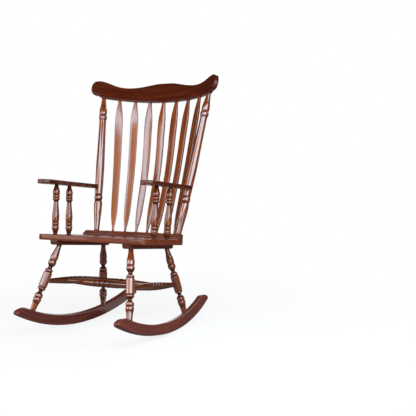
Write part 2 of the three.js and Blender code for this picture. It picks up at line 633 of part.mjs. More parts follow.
// Arm and its posts
const toSeat = seatFrame.clone().invert();
function postAt(rise) {
  const [foot, head] = [postFoot, postHead].map((p) => p.clone().applyMatrix4(toSeat));
  return foot.clone().lerp(head, (rise - foot.z) / (head.z - foot.z)).applyMatrix4(seatFrame);
}
const armMiddle = ARM_RISE + ARM_THICKNESS / 2;
const armRear = onSeat(ARM_REAR_SPREAD, ARM_FRONT + ARM_LENGTH - ARM_TENON_ROOT, armMiddle);
const armMouth = beyond(armRear, postAt(armMiddle), -POST_RADIUS);
const armTip = beyond(armRear, armMouth, ARM_TENON_DEPTH);
const armTenon = peg(armRear, armTip, ARM_TENON_RADIUS);
const armSocket = peg(armRear, beyond(armMouth, armTip, FIT), ARM_TENON_RADIUS + FIT);
let arm = plate(armOutline(), ARM_RISE, ARM_TOP, ARM_SOFTENING, seatFrame).subtract(postGrown).add(armTenon);
post = post.subtract(armSocket);
const belowPlankTop = slab(seatFrame, PLANK_TOP - WIDE / 2, PLANK_TOP + FIT);
const aboveArm = slab(seatFrame, ARM_RISE - FIT, ARM_RISE + WIDE / 2);
const armPosts = {};
for (const [place, { back, foot, head }] of Object.entries(ARM_POSTS)) {
  const bottom = onSeat(foot, back, PLANK_TOP);
  const top = onSeat(head, back, ARM_RISE);
  const lower = tenonPair(top, bottom, ARM_POST_FOOT_DEPTH, ARM_POST_TENON_RADIUS);
  const upper = tenonPair(bottom, top, ARM_POST_HEAD_DEPTH, ARM_POST_TENON_RADIUS);
  armPosts[place] = turning(bottom, top, ARM_POST_SHARES, ARM_POST_RADIUS, SLIM_SIDES)
    .subtract(belowPlankTop).subtract(aboveArm).add(lower.tenon).add(upper.tenon);
  plank = cutBoth(plank, lower.socket);
  arm = arm.subtract(upper.socket);
}

// Cleat screws
const screws = {};
const screwPlaces = { front: frontHead + CLEAT_SCREW_SPACING, rear: rearHead - CLEAT_SCREW_SPACING };
for (const [place, y] of Object.entries(screwPlaces)) {
  const { body, hole } = screwSolid(y);
  screws[place] = body;
  cleat = cleat.subtract(hole);
  plank = cutBoth(plank, hole);
}

// Chair
const chair = new THREE.Group();
chair.name = 'boston_rocking_chair';
function place(name, body, finish) {
  const mesh = new THREE.Mesh(geometryOf(body), new THREE.MeshStandardMaterial(FINISHES[finish]));
  mesh.name = name;
  chair.add(mesh);
}
function placePair(name, body, finish) {
  const [onLeft, onRight] = bothSides(body);
  place(`${name}_left`, onLeft, finish);
  place(`${name}_right`, onRight, finish);
}
place('seat_plank', plank, 'seat');
place('seat_riser', riser, 'seat');
placePair('seat_cleat', cleat, 'seat');
for (const [where, body] of Object.entries(screws)) placePair(`cleat_screw_${where}`, body, 'steel');
placePair('rocker', rocker, 'rocker');
for (const [where, leg] of Object.entries(legs)) placePair(`leg_${where}`, leg.solid, 'turned');
placePair('side_stretcher', side, 'turned');
for (const [where, body] of Object.entries(crosses)) place(`cross_stretcher_${where}`, body, 'turned');
placePair('back_post', post, 'turned');
spindles.forEach((body, i) => place(`spindle_${i + 1}`, body, 'flat'));
place('crest_rail', crest, 'flat');
placePair('arm', arm, 'flat');
for (const [where, body] of Object.entries(armPosts)) placePair(`arm_post_${where}`, body, 'turned');

// Origin on the floor, in the middle of the plan
const bounds = new THREE.Box3().setFromObject(chair);
chair.position.set(0, -(bounds.min.y + bounds.max.y) / 2, -bounds.min.z);

export default chair;
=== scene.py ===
"""Looks of a boston rocking chair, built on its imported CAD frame: metres, +Z up, front towards -Y."""
import math
import random
from typing import NamedTuple

import bmesh
import bpy
import numpy as np
from mathutils import Matrix, Vector


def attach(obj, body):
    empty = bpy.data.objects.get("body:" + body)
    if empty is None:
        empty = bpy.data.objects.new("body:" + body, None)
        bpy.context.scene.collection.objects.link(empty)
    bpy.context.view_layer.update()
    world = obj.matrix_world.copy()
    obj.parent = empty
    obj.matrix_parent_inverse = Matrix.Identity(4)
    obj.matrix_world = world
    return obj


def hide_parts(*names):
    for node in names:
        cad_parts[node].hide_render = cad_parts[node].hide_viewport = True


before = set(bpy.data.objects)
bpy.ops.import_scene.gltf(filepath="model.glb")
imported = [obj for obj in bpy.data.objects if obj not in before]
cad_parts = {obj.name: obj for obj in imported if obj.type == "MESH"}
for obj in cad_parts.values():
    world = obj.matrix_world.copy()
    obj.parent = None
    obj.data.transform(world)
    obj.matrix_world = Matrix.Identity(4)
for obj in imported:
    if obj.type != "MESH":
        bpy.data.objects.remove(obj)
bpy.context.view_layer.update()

# Shift of the whole chair to the origin
SHIFT = (0, .03286, .00152)

# Rockers
ROCKER_RADIUS = .8935
ROCKER_DEPTH = .044
ROCKER_WIDTH = .026
ROCKER_SOFTENING = .0032
ROCKER_ARC = (-29.7, 21.42)
ROCKER_NOSE_ANGLE = 2.2
ROCKER_TOE_IN = 4.56
ROCKER_CANT = 9.4
ROCKER_HALF_SPREAD = .2355

# Seat
SEAT_TILT = 8.4
SEAT_HEIGHT = .3804
SEAT_SETBACK = -.108
PLANK_HALF_WIDTH = .276
PLANK_FRONT = -.188
PLANK_DEPTH = .476
PLANK_TOP = .024
PLANK_SOFTENING = .0034
RISER_BOTTOM = .0242
RISER_TOP = .0453
RISER_HORN = .138
RISER_HOLLOW = .056
RISER_SETBACK = .015
RISER_INSET = .0034
CLEAT_TOP = -.0002
CLEAT_BOTTOM = -.0193
CLEAT_WIDTH = .040
CLEAT_FRONT = -.158
CLEAT_LENGTH = .348
CLEAT_CORNER = .012
CLEAT_SPREAD = .1765
CLEAT_ANGLE = 2.6
CLEAT_SOFTENING = .0012

# Legs and stretchers
LEG_RADIUS = .018
LEG_HEADS = {"front": -.122, "rear": .170}
LEG_ANGLES = {"front": -24.35, "rear": 7.02}
LEG_STRETCHER_SHARES = {"front": .555, "rear": .56}
STRETCHER_RADIUS = .0165
CROSS_STRETCHER_SHARES = {"front": .31, "rear": .64}

# Back
CREST_RADIUS = .525
CREST_HALF_WIDTH = .336
CREST_HEIGHT = .090
CREST_THICKNESS = .020
CREST_SOFTENING = .0028
CREST_LEAN = 11.6
CREST_BACK = .362
CREST_RISE = .649
POST_RADIUS = .019
POST_FOOT = (.218, .181)
POST_TOP_SPREAD = .283
SPINDLE_WIDTH = .036
SPINDLE_THICKNESS = .010
SPINDLE_CORNER = .0026
SPINDLE_BOW = .023
SPINDLE_TOP_PITCH = .072
SPINDLE_FOOT_PITCH = .055
SPINDLE_BACK = .265

# Arms
ARM_RISE = .237
ARM_TOP = .256
ARM_SOFTENING = .0036
ARM_FRONT = -.166
ARM_LENGTH = .367
ARM_FRONT_SPREAD = .262
ARM_REAR_SPREAD = .248
ARM_WIDTH = .074
ARM_POST_RADIUS = .0155
ARM_POSTS = {"front": (-.0675, .253, .257), "rear": (.028, .255, .263)}

# Cleat screws
SCREW_PLACES = {"front": -.060, "rear": .108}
SCREW_HEAD_RADIUS = .0045
SCREW_RECESS = .0004
SCREW_DEPTH = .0035
SCREW_SLOT = .0012
SCREW_SLOT_DEPTH = .0011
SCREW_SLOT_TURN = 25
SCREW_RIM = .0003
SCREW_RIM_FOOT = .0001
SCREW_RIM_TOP = .0005
SCREW_FLAT_SHARE = .6
SCREW_NECK_SHARE = .5

# How far a turned piece runs into what carries it, and a spindle, as a share of its length
TURNED_OVERRUN = .006
SPINDLE_OVERRUN_SHARE = .012

# Narrow flat band inside every rounded edge
EDGE_BAND = .0015

# Wear, dirt and painted shade. A turning is compared with its neighbourhood: grooves go below zero, where
# dirt and painted shade darken them, ridges above it.
WEAR_REACH = .007
GROOVE_DEPTH = .0032
RIDGE_HEIGHT = .0045
RIDGE_WEAR = .75
# How fast a ridge loses its wear where it is hollow too
HOLLOW_LOSS = 3
# Darkening towards the ends of turnings and spindles, where they meet what carries them
TURNED_JOINT_REACH = .006
TURNED_JOINT_DARKENING = .8
SPINDLE_JOINT_REACH = .008
SPINDLE_CORNER_WEAR = .8

# Turnings: runs of (share of the length, share of the largest radius). Runs meet in crisp corners.
# A run that starts with "bead" is a half round from one share to another, with its foot and top radius.
LEG_RUNS = [
    [(0, .54), (.05, .6), (.1, .7), (.15, .84), (.19, .91), (.222, .88), (.238, .79)],
    ["bead", .243, .304, .79, .94],
    [(.306, .82), (.322, .62), (.345, .47), (.36, .5), (.371, .64)],
    ["bead", .373, .413, .72, .91],
    [(.415, .82), (.421, .82)],
    [(.425, .985), (.43, 1), (.53, 1.01), (.635, 1), (.64, .985)],
    [(.642, .82), (.647, .82)],
    ["bead", .648, .684, .76, .94],
    [(.686, .72), (.7, .5), (.714, .43), (.73, .52), (.745, .74), (.765, .93), (.785, .95), (.802, .82)],
    ["bead", .806, .866, .8, .95],
    [(.868, .85), (.885, .78), (.93, .71), (1, .63)],
]
STRETCHER_RUNS = [
    [(0, .52), (.12, .66), (.26, .84), (.36, .95), (.404, .97)],
    [(.407, .84), (.412, .84)],
    ["bead", .414, .469, .84, 1],
    ["bead", .473, .527, .84, 1.03],
    ["bead", .531, .586, .84, 1],
    [(.588, .84), (.593, .84)],
    [(.596, .97), (.64, .95), (.74, .84), (.88, .66), (1, .52)],
]
POST_RUNS = [
    [(0, .62), (.07, .74), (.13, .9), (.17, .965), (.2, .96), (.217, .87), (.224, .8)],
    ["bead", .226, .26, .84, .99],
    [(.262, .82), (.266, .82)],
    [(.269, .89), (.34, .95), (.46, 1), (.6, .93), (.8, .82), (.833, .82)],
    ["bead", .836, .868, .84, .98],
    [(.87, .8), (.876, .86), (.888, .92), (.905, .9), (.95, .66), (1, .47)],
]
ARM_POST_RUNS = [
    [(0, .58), (.03, .62), (.08, .84), (.125, .99), (.155, .96), (.176, .8)],
    ["bead", .18, .236, .8, .98],
    [(.24, .84), (.28, .95), (.34, 1), (.41, .96), (.48, .86), (.57, .74), (.66, .68), (.684, .72)],
    ["bead", .688, .736, .8, 1],
    ["bead", .741, .796, .8, .98],
    [(.8, .82), (.82, .96), (.85, 1), (.89, .9), (.92, .78), (.96, .62), (1, .5)],
]

# End of a rocker: share of its depth from the bottom, reach past the arc as a share of the nose angle
ROCKER_NOSE_SHARES = [
    (0, 0), (.03, .12), (.08, .24), (.2, .3), (.4, .18), (.62, -.12), (.82, -.5), (.95, -.9), (1, -1.15),
]

# Half plan of the seat plank: share of the half width, share of the depth from the front
PLANK_SHARES = [
    (0, 0), (.22, .002), (.44, .006), (.66, .013), (.82, .022), (.91, .04), (.97, .075), (.995, .125),
    (.992, .2), (.98, .3), (.974, .4), (.982, .5), (.998, .58), (.988, .645), (.938, .712), (.87, .775),
    (.786, .836), (.7, .885), (.58, .928), (.44, .958), (.3, .98), (.15, .995), (0, 1),
]

# Edge of the riser: share of its height, of the front setback, of the rear inset, and the wear, below zero
# for dirt and painted shade at its foot and in the cove's ledge
RISER_EDGE_SHARES = [
    (0, 0, 0, -.6), (.2, 0, 0, 0), (.38, 0, 0, 0), (.43, .03, 0, -.7), (.46, .2, 0, -.7),
    (.5, .36, 0, 0), (.58, .5, 0, 0), (.68, .58, 0, 0), (.78, .64, .02, 0), (.86, .7, .12, 0),
    (.92, .78, .32, .9), (.97, .89, .62, .9), (1, 1.06, 1, .9),
]

# Half outline of the crest: share of the half width, share of the height
CREST_OUTLINE_SHARES = [
    (0, 1), (.11, .99), (.22, .92), (.35, .81), (.47, .725), (.57, .685), (.68, .705), (.77, .785),
    (.845, .862), (.885, .88), (.92, .872), (.95, .84), (.975, .77), (.992, .65), (1, .5), (.998, .36),
    (.988, .24), (.968, .15), (.94, .105), (.905, .092), (.889, .07), (.876, .025), (.866, 0),
]

# Spindles: share of the height, share of the width, share of the bow
SPINDLE_SHARES = [
    (0, .26, 0), (.025, .28, .07), (.05, .42, .14), (.075, .56, .2), (.105, .68, .28), (.15, .79, .39),
    (.24, .86, .59), (.35, .89, .83), (.46, .93, .98), (.6, .97, .82), (.72, 1, .48), (.83, 1, .2),
    (.88, .92, .11), (.93, .72, .05), (.965, .54, .02), (1, .4, 0),
]
# From the middle spindle outwards: share of the bow, share by which the foot stands further forward
SPINDLE_BOW_SHARES = [1, .86, .46, .22]
SPINDLE_FORWARD_SHARES = [0, .021, .056, .121]
# Largest rounding as a share of a spindle's half width
SPINDLE_ROUND_SHARE = .6

# Half plan of the arm: share of the length from the front, outer and inner share of the width
ARM_SHARES = [
    (0, 0, 0), (.002, .12, .12), (.012, .27, .27), (.045, .42, .41), (.1, .49, .48), (.17, .48, .47),
    (.27, .4, .39), (.38, .325, .32), (.55, .29, .285), (.78, .26, .25), (1, .22, .2),
]

# Fineness of the rounds, of the splines between two given points, and of the outlines
TURNED_SIDES = 40
SCREW_SIDES = 32
ROUND_STEPS = 5
CORNER_STEPS = 8
SPLINE_STEPS = {"turning": 6, "nose": 5, "plank": 12, "spindle": 4, "crest": 7, "arm": 12}
BEAD_POINTS = 11
ARC_POINTS = {"bottom": 90, "top": 80}
ROCKER_POINTS = 480
PLANK_POINTS = 220
RISER_REAR_POINTS = 110
RISER_FRONT_POINTS = 61
CREST_POINTS = 300
ARM_SIDE_POINTS = 60
CREST_CUTS = np.linspace(-.33, .33, 89)

# Least distance that counts, and least step of a spline
TOUCHING = 1e-5
LEAST_STEP = 1e-9

# Angles above which an edge is drawn sharp
SHARP_ANGLE = 32
RISER_SHARP_ANGLE = 40


# Places
def rotation(degrees, axis):
    return Matrix.Rotation(math.radians(degrees), 4, axis)


GROUP = Matrix.Translation(SHIFT)
SEAT = GROUP @ Matrix.Translation((0, SEAT_SETBACK, SEAT_HEIGHT)) @ rotation(-SEAT_TILT, "X")
CREST = SEAT @ Matrix.Translation((0, CREST_BACK, CREST_RISE)) @ rotation(-CREST_LEAN, "X")
ROCKER_LEAN = rotation(ROCKER_TOE_IN, "Z") @ rotation(-ROCKER_CANT, "Y")
ROCKER = GROUP @ Matrix.Translation((ROCKER_HALF_SPREAD, 0, 0)) @ ROCKER_LEAN
CLEAT = SEAT @ Matrix.Translation((CLEAT_SPREAD, 0, 0)) @ rotation(CLEAT_ANGLE, "Z")
IN_PLACE = Matrix.Identity(4)
MIRROR = Matrix.Diagonal((-1, 1, 1, 1))
# Stands a plate up: its outline lies along Y and Z and its thickness along X
ON_EDGE = Matrix(((0, 0, 1, 0), (1, 0, 0, 0), (0, 1, 0, 0), (0, 0, 0, 1)))
# The grain's noises run along Z. These turn them along X or along Y.
GRAIN_ALONG_X = rotation(90, "Y")
GRAIN_ALONG_Y = rotation(90, "X")


def on_crest(x, depth, rise):
    """Place on the bent crest, measured along the width of the chair."""
    angle = math.asin(x / CREST_RADIUS)
    radius = CREST_RADIUS + depth
    return CREST @ Vector((radius * math.sin(angle), radius * math.cos(angle) - CREST_RADIUS, rise))


def on_arc(angle, radius):
    """Place on a rocker's arc, as length and height in its own plane."""
    turn = math.radians(angle)
    return np.array((radius * math.sin(turn), ROCKER_RADIUS - radius * math.cos(turn)))


# Curves
def between(low, high, start, end, t):
    """Value at t on the line that is low at start and high at end."""
    return (end - t) / (end - start) * low + (t - start) / (end - start) * high


def smooth(points, steps, closed=False):
    """Dense points on a centripetal spline through the given ones."""
    points = [np.array(point, float) for point in points]
    if closed:
        run = [points[-1], *points, points[0], points[1]]
    else:
        run = [2 * points[0] - points[1], *points, 2 * points[-1] - points[-2]]
    dense = []
    for p0, p1, p2, p3 in zip(run, run[1:], run[2:], run[3:]):
        t0 = 0
        t1 = t0 + math.sqrt(np.linalg.norm(p1 - p0)) + LEAST_STEP
        t2 = t1 + math.sqrt(np.linalg.norm(p2 - p1)) + LEAST_STEP
        t3 = t2 + math.sqrt(np.linalg.norm(p3 - p2)) + LEAST_STEP
        for t in np.linspace(t1, t2, steps, endpoint=False):
            a1 = between(p0, p1, t0, t1, t)
            a2 = between(p1, p2, t1, t2, t)
            a3 = between(p2, p3, t2, t3, t)
            b1 = between(a1, a2, t0, t2, t)
            b2 = between(a2, a3, t1, t3, t)
            dense.append(between(b1, b2, t1, t2, t))
    if not closed:
        dense.append(points[-1])
    return np.array(dense)


def spaced(points, count, closed=False):
    """Points at equal steps along a dense polyline."""
    points = np.array(points)
    if closed:
        points = np.vstack([points, points[:1]])
    steps = np.linalg.norm(np.diff(points, axis=0), axis=1)
    along = np.concatenate([[0], np.cumsum(steps)])
    wanted = np.linspace(0, along[-1], count + 1)
    if closed:
        wanted = wanted[:-1]
    return np.stack([np.interp(wanted, along, column) for column in points.T], axis=1)


def moved_inwards(points, tangent, distance):
    """Points of an anticlockwise run moved to its inner side."""
    tangent = tangent / np.linalg.norm(tangent, axis=1)[:, None]
    return points + np.stack([-tangent[:, 1], tangent[:, 0]], axis=1) * distance


def inset(outline, distance):
    """Closed anticlockwise outline moved inwards."""
    return moved_inwards(outline, np.roll(outline, -1, axis=0) - np.roll(outline, 1, axis=0), distance)


def anticlockwise(outline):
    x, y = outline[:, 0], outline[:, 1]
    area = np.sum(x * np.roll(y, -1) - np.roll(x, -1) * y)
    return outline if area > 0 else outline[::-1]


def with_mirror_image(half):
    """Closed outline from its right half. Points on the middle line stay single."""
    return [*half, *[(-x, y) for x, y in reversed(half) if x > 0]]


def round_turns(steps=ROUND_STEPS):
    """Angles of a quarter round."""
    return np.linspace(0, math.pi / 2, steps)


# Meshes
GRAIN_SHIFT = 9
random.seed(11)


class Piece:
    """Mesh under construction, with the grain's place at each vertex and a value that is rubbed above zero
    and darkened by dirt and painted shade below zero.
    """

    def __init__(self):
        self.verts, self.faces, self.grain, self.wear_and_shade = [], [], [], []

    def ring(self, points, grain, wear_and_shade):
        """New vertices. Returns their numbers."""
        start = len(self.verts)
        self.verts.extend(Vector(point) for point in points)
        self.grain.extend(grain)
        self.wear_and_shade.extend(wear_and_shade)
        return list(range(start, len(self.verts)))

    def loft(self, rings):
        """Faces from each ring to the next, and a cap at both ends."""
        for low, high in zip(rings, rings[1:]):
            for k in range(len(low)):
                n = (k + 1) % len(low)
                self.faces.append((low[k], low[n], high[n], high[k]))
        self.faces.append(tuple(reversed(rings[0])))
        self.faces.append(tuple(rings[-1]))
        return self


def add_object(name, data):
    new_object = bpy.data.objects.new(name, data)
    bpy.context.scene.collection.objects.link(new_object)
    return new_object


def finish_piece(node, piece, place, material, form="wood", sharp=SHARP_ANGLE, mirrored=False):
    """Mesh object of a piece, which takes the place of its CAD node."""
    name = f"{node}_{form}"
    mesh = bpy.data.meshes.new(name)
    verts = [place @ point for point in piece.verts]
    faces = piece.faces
    if mirrored:
        verts = [MIRROR @ point for point in verts]
        faces = [tuple(reversed(face)) for face in faces]
    mesh.from_pydata([tuple(point) for point in verts], [], faces)
    mesh.validate()
    shift = Vector([random.uniform(-GRAIN_SHIFT, GRAIN_SHIFT) for axis in range(3)])
    grain = mesh.attributes.new("grain", "FLOAT_VECTOR", "POINT")
    shifted = np.array([Vector(point) + shift for point in piece.grain], np.float32)
    grain.data.foreach_set("vector", shifted.ravel())
    wear_and_shade = mesh.attributes.new("wear_and_shade", "FLOAT", "POINT")
    wear_and_shade.data.foreach_set("value", np.array(piece.wear_and_shade, np.float32))
    mesh.shade_smooth()
    mesh.set_sharp_from_angle(angle=math.radians(sharp))
    mesh.materials.append(material)
    piece_object = add_object(name, mesh)
    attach(piece_object, "root")
    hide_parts(node)
    return piece_object


def both_sides(name, piece, place, material):
    """A piece on the left and its mirror image on the right."""
    for side in ("left", "right"):
        finish_piece(f"{name}_{side}", piece, place, material, mirrored=side == "right")


def held(value):
    """Value kept between 0 and 1."""
    return min(1, max(0, value))


def bead(start, end, foot, top):
    """Half round of a turning: rows of place along it and radius."""
    middle, half = (start + end) / 2, (end - start) / 2
    turns = np.linspace(0, math.pi, BEAD_POINTS)
    return [(middle - half * math.cos(turn), foot + (top - foot) * math.sin(turn)) for turn in turns]


def turned_profile(runs, length, radius):
    """Profile of a turning: place along it, radius, and a value that goes below zero in the grooves, where
    dirt and painted shade darken it.
    """
    rows = []
    for run in runs:
        if run[0] == "bead":
            rows.extend(bead(*run[1:]))
        else:
            rows.extend(smooth(run, SPLINE_STEPS["turning"]) if len(run) > 2 else run)
    rows = np.array(rows)
    along, across = rows[:, 0] * length, rows[:, 1] * radius
    wear_and_shade = []
    for place, size in zip(along, across):
        near = np.abs(along - place) < WEAR_REACH
        hollow = held((across[near].max() - size) / GROOVE_DEPTH)
        proud = held((size - across[near].min()) / RIDGE_HEIGHT) * (1 - min(1, hollow * HOLLOW_LOSS))
        wear_and_shade.append(RIDGE_WEAR * proud - hollow)
    return along, across, wear_and_shade


def turning(start, end, runs, radius):
    """Turned piece between two points. It runs into what carries it at both ends."""
    piece = Piece()
    axis = end - start
    length = axis.length
    place = Matrix.Translation(start) @ axis.to_track_quat("Z", "X").to_matrix().to_4x4()
    along, across, wear_and_shade = turned_profile(runs, length, radius)
    along = np.concatenate([[-TURNED_OVERRUN], along, [length + TURNED_OVERRUN]])
    across = np.concatenate([[across[0]], across, [across[-1]]])
    wear_and_shade = [-1, *wear_and_shade, -1]
    turns = np.linspace(0, 2 * math.pi, TURNED_SIDES, endpoint=False)
    rings = []
    for height, size, shade_and_wear in zip(along, across, wear_and_shade):
        joint_darkening = held(1 - min(height, length - height) / TURNED_JOINT_REACH) * TURNED_JOINT_DARKENING
        points = [(size * math.cos(turn), size * math.sin(turn), height) for turn in turns]
        placed = [place @ Vector(point) for point in points]
        rings.append(piece.ring(placed, points, [shade_and_wear - joint_darkening] * len(points)))
    return piece.loft(rings)


def plate(outline, low, high, softening, grain_turn=IN_PLACE):
    """Flat piece of an outline with rounded edges, thick along Z."""
    piece = Piece()
    outline = anticlockwise(np.array(outline))
    rows = [(softening + EDGE_BAND, low, 0)]
    for turn in round_turns():
        inwards, rise = softening * (1 - math.sin(turn)), softening * (1 - math.cos(turn))
        rows.append((inwards, low + rise, math.sin(2 * turn)))
    for turn in round_turns():
        inwards, drop = softening * (1 - math.cos(turn)), softening * (1 - math.sin(turn))
        rows.append((inwards, high - drop, math.sin(2 * turn)))
    rows.append((softening + EDGE_BAND, high, 0))
    rings = []
    for distance, height, wear_and_shade in rows:
        points = [Vector((x, y, height)) for x, y in inset(outline, distance)]
        grain = [grain_turn @ point for point in points]
        rings.append(piece.ring(points, grain, [wear_and_shade] * len(points)))
    return piece.loft(rings)


# Nodes of the materials
def empty_tree(owner):
    """Cleared node tree of a material or world."""
    owner.use_nodes = True
    owner.node_tree.nodes.clear()
    return owner.node_tree


def add_node(tree, kind, inputs=(), **settings):
    """New node with its settings; inputs are (name, value or output socket)."""
    node = tree.nodes.new(kind)
    for key, value in settings.items():
        setattr(node, key, value)
    for key, value in inputs:
        if isinstance(value, bpy.types.NodeSocket):
            tree.links.new(value, node.inputs[key])
        else:
            node.inputs[key].default_value = value
    return node


def attribute(tree, name, output):
    return add_node(tree, "ShaderNodeAttribute", attribute_name=name).outputs[output]


def math_node(tree, operation, first, second):
    return add_node(tree, "ShaderNodeMath", [(0, first), (1, second)], operation=operation).outputs[0]


def vector_math(tree, operation, *inputs):
    return add_node(tree, "ShaderNodeVectorMath", enumerate(inputs), operation=operation)


def mix_colour(tree, factor, first, second):
    """Mix of two colours. The mix node's colour sockets are 6 and 7, and its result is 2."""
    sockets = [(0, factor), (6, first), (7, second)]
    return add_node(tree, "ShaderNodeMix", sockets, data_type="RGBA").outputs[2]


def spread(tree, value, span, to=(0, 1)):
    """Value moved from one span to another and held inside it."""
    (low, high), (to_low, to_high) = span, to
    node = add_node(
        tree, "ShaderNodeMapRange",
        [("Value", value), ("From Min", low), ("From Max", high), ("To Min", to_low), ("To Max", to_high)],
        clamp=True,
    )
    return node.outputs[0]


class Noise(NamedTuple):
    """Noise with so many cells a metre across the grain and along it."""
    across: float
    along: float
    detail: float
    roughness: float = .55
    distortion: float = 0


def stretched_noise(tree, grain, noise):
    scale = (noise.across, noise.across, noise.along)
    mapping = add_node(tree, "ShaderNodeMapping", [("Vector", grain), ("Scale", scale)])
    texture = add_node(tree, "ShaderNodeTexNoise", [
        ("Vector", mapping.outputs[0]),
        ("Scale", 1),
        ("Detail", noise.detail),
        ("Roughness", noise.roughness),
        ("Distortion", noise.distortion),
    ])
    return texture.outputs["Fac"]


def bump(tree, height, size):
    strength, distance = size
    inputs = [("Height", height), ("Strength", strength), ("Distance", distance)]
    return add_node(tree, "ShaderNodeBump", inputs).outputs[0]


def scaled(tone, share):
    return tuple(channel * share for channel in tone)


def opaque(tone):
    return (*tone, 1)


# Wood and metal
FIGURE_NOISE = Noise(95, 5, 3, distortion=.6)
FIBRE_NOISE = Noise(620, 16, 4, .65)
PORE_NOISE = Noise(1500, 60, 2, .5)
BLOTCH_NOISE = Noise(16, 7, 2)
PATCH_NOISE = Noise(70, 22, 3)
LACQUER_NOISE = Noise(45, 14, 2)
SCRATCH_NOISE = Noise(900, 200, 3)
# Span of the noise that counts: in most uses, in the figure, in the pores and in the rubbed patches
NOISE_SPAN = (.3, .7)
FIGURE_SPAN = (.28, .72)
PORE_SPAN = (.62, .75)
PATCH_SPAN = (.42, .7)
# Shares of the deep tone mixed in over dark fibres, blotches and pores
FIBRE_DARKNESS = .42
BLOTCH_DARKNESS = .45
PORE_DARKNESS = .45
# Brightness of the pores, and of the dirt and painted shade, against the deep tone
PORE_SHADE = .35
DIRT_AND_SHADE_TONE = .3
# Wear at which the dirt with its painted shade and the rubbing begin and end, and how far they cover the
# stain
DIRT_AND_SHADE_SPAN = (-.06, -.75)
DIRT_AND_SHADE_SHARE = .86
RUBBED_WEAR = (.3, 1)
RUBBED_SHARE = .3
RUBBED_TONE = (.5, .176, .066)
# Coat over the dirt and painted shade as a share of the clean coat, and the darkening at which it is down to
# that
DIRTY_COAT_SHARE = .3
DIRTY_COAT_DIRT = .8
WOOD_ROUGHNESS = (.255, .375)
DIRT_ROUGHNESS = .2
FIBRE_RELIEF = .5
PORE_RELIEF = .6
STEEL_TONES = (.30, .29, .27), (.52, .51, .48)
STEEL_ROUGHNESS = (.3, .5)
# Strength and distance of the bumps
WOOD_BUMP = (.25, .0003)
LACQUER_BUMP = (.04, .0001)
SCRATCH_BUMP = (.3, .0001)


class Finish(NamedTuple):
    """Stain from the pores to the lightest grain, and the clear coat over it."""
    deep: tuple
    middle: tuple
    light: tuple
    coat: float = 1
    coat_roughness: float = .08
    coat_ior: float = 1.7


FINISHES = {
    "seat": Finish((.11, .0205, .0065), (.228, .044, .014), (.353, .079, .025), .59, .2),
    "rocker": Finish((.115, .0203, .0115), (.216, .042, .0244), (.311, .0676, .0365), .72),
    "turned": Finish((.132, .022, .0037), (.316, .06, .0095), (.522, .135, .0265), 1, .07, 2.13),
    # The stretchers' stain is darker than the legs', as painted shade under the seat
    "stretcher": Finish((.081, .0147, .0037), (.169, .0338, .0088), (.294, .0735, .019), 1, .08, 1.85),
    "arm_post": Finish((.125, .022, .0044), (.294, .0618, .0125), (.485, .132, .0294), .88, .08, 1.8),
    "crest": Finish((.047, .0069, .0022), (.0985, .015, .0047), (.174, .031, .0095), .41),
    "arm": Finish((.058, .0102, .0041), (.123, .0226, .0088), (.198, .045, .0164), .52),
}
SPINDLE_FINISH = Finish((.191, .0368, .0044), (.346, .0735, .0103), (.522, .14, .0265), 1, .13, 1.92)
# Painted shade on the seven spindles, from the right of the chair to its left: each one's stain is darkened
# by how much less light falls on it
SPINDLE_PAINTED_SHADES = (.97, .95, .93, .97, .9, .86, .66)


def stain(tree, grain, fibre, finish):
    """Colour of the stained grain: its figure, with darker fibres and blotches."""
    deep = opaque(finish.deep)
    figure = stretched_noise(tree, grain, FIGURE_NOISE)
    ramp = add_node(tree, "ShaderNodeValToRGB", [("Fac", spread(tree, figure, FIGURE_SPAN))])
    stops = ramp.color_ramp.elements
    stops[0].position, stops[0].color = 0, deep
    stops[1].position, stops[1].color = 1, opaque(finish.light)
    stops.new(.5).color = opaque(finish.middle)
    blotch = stretched_noise(tree, grain, BLOTCH_NOISE)
    dark_fibre = spread(tree, fibre, NOISE_SPAN, (FIBRE_DARKNESS, 0))
    dark_blotch = spread(tree, blotch, NOISE_SPAN, (BLOTCH_DARKNESS, 0))
    return mix_colour(tree, dark_blotch, mix_colour(tree, dark_fibre, ramp.outputs[0], deep), deep)


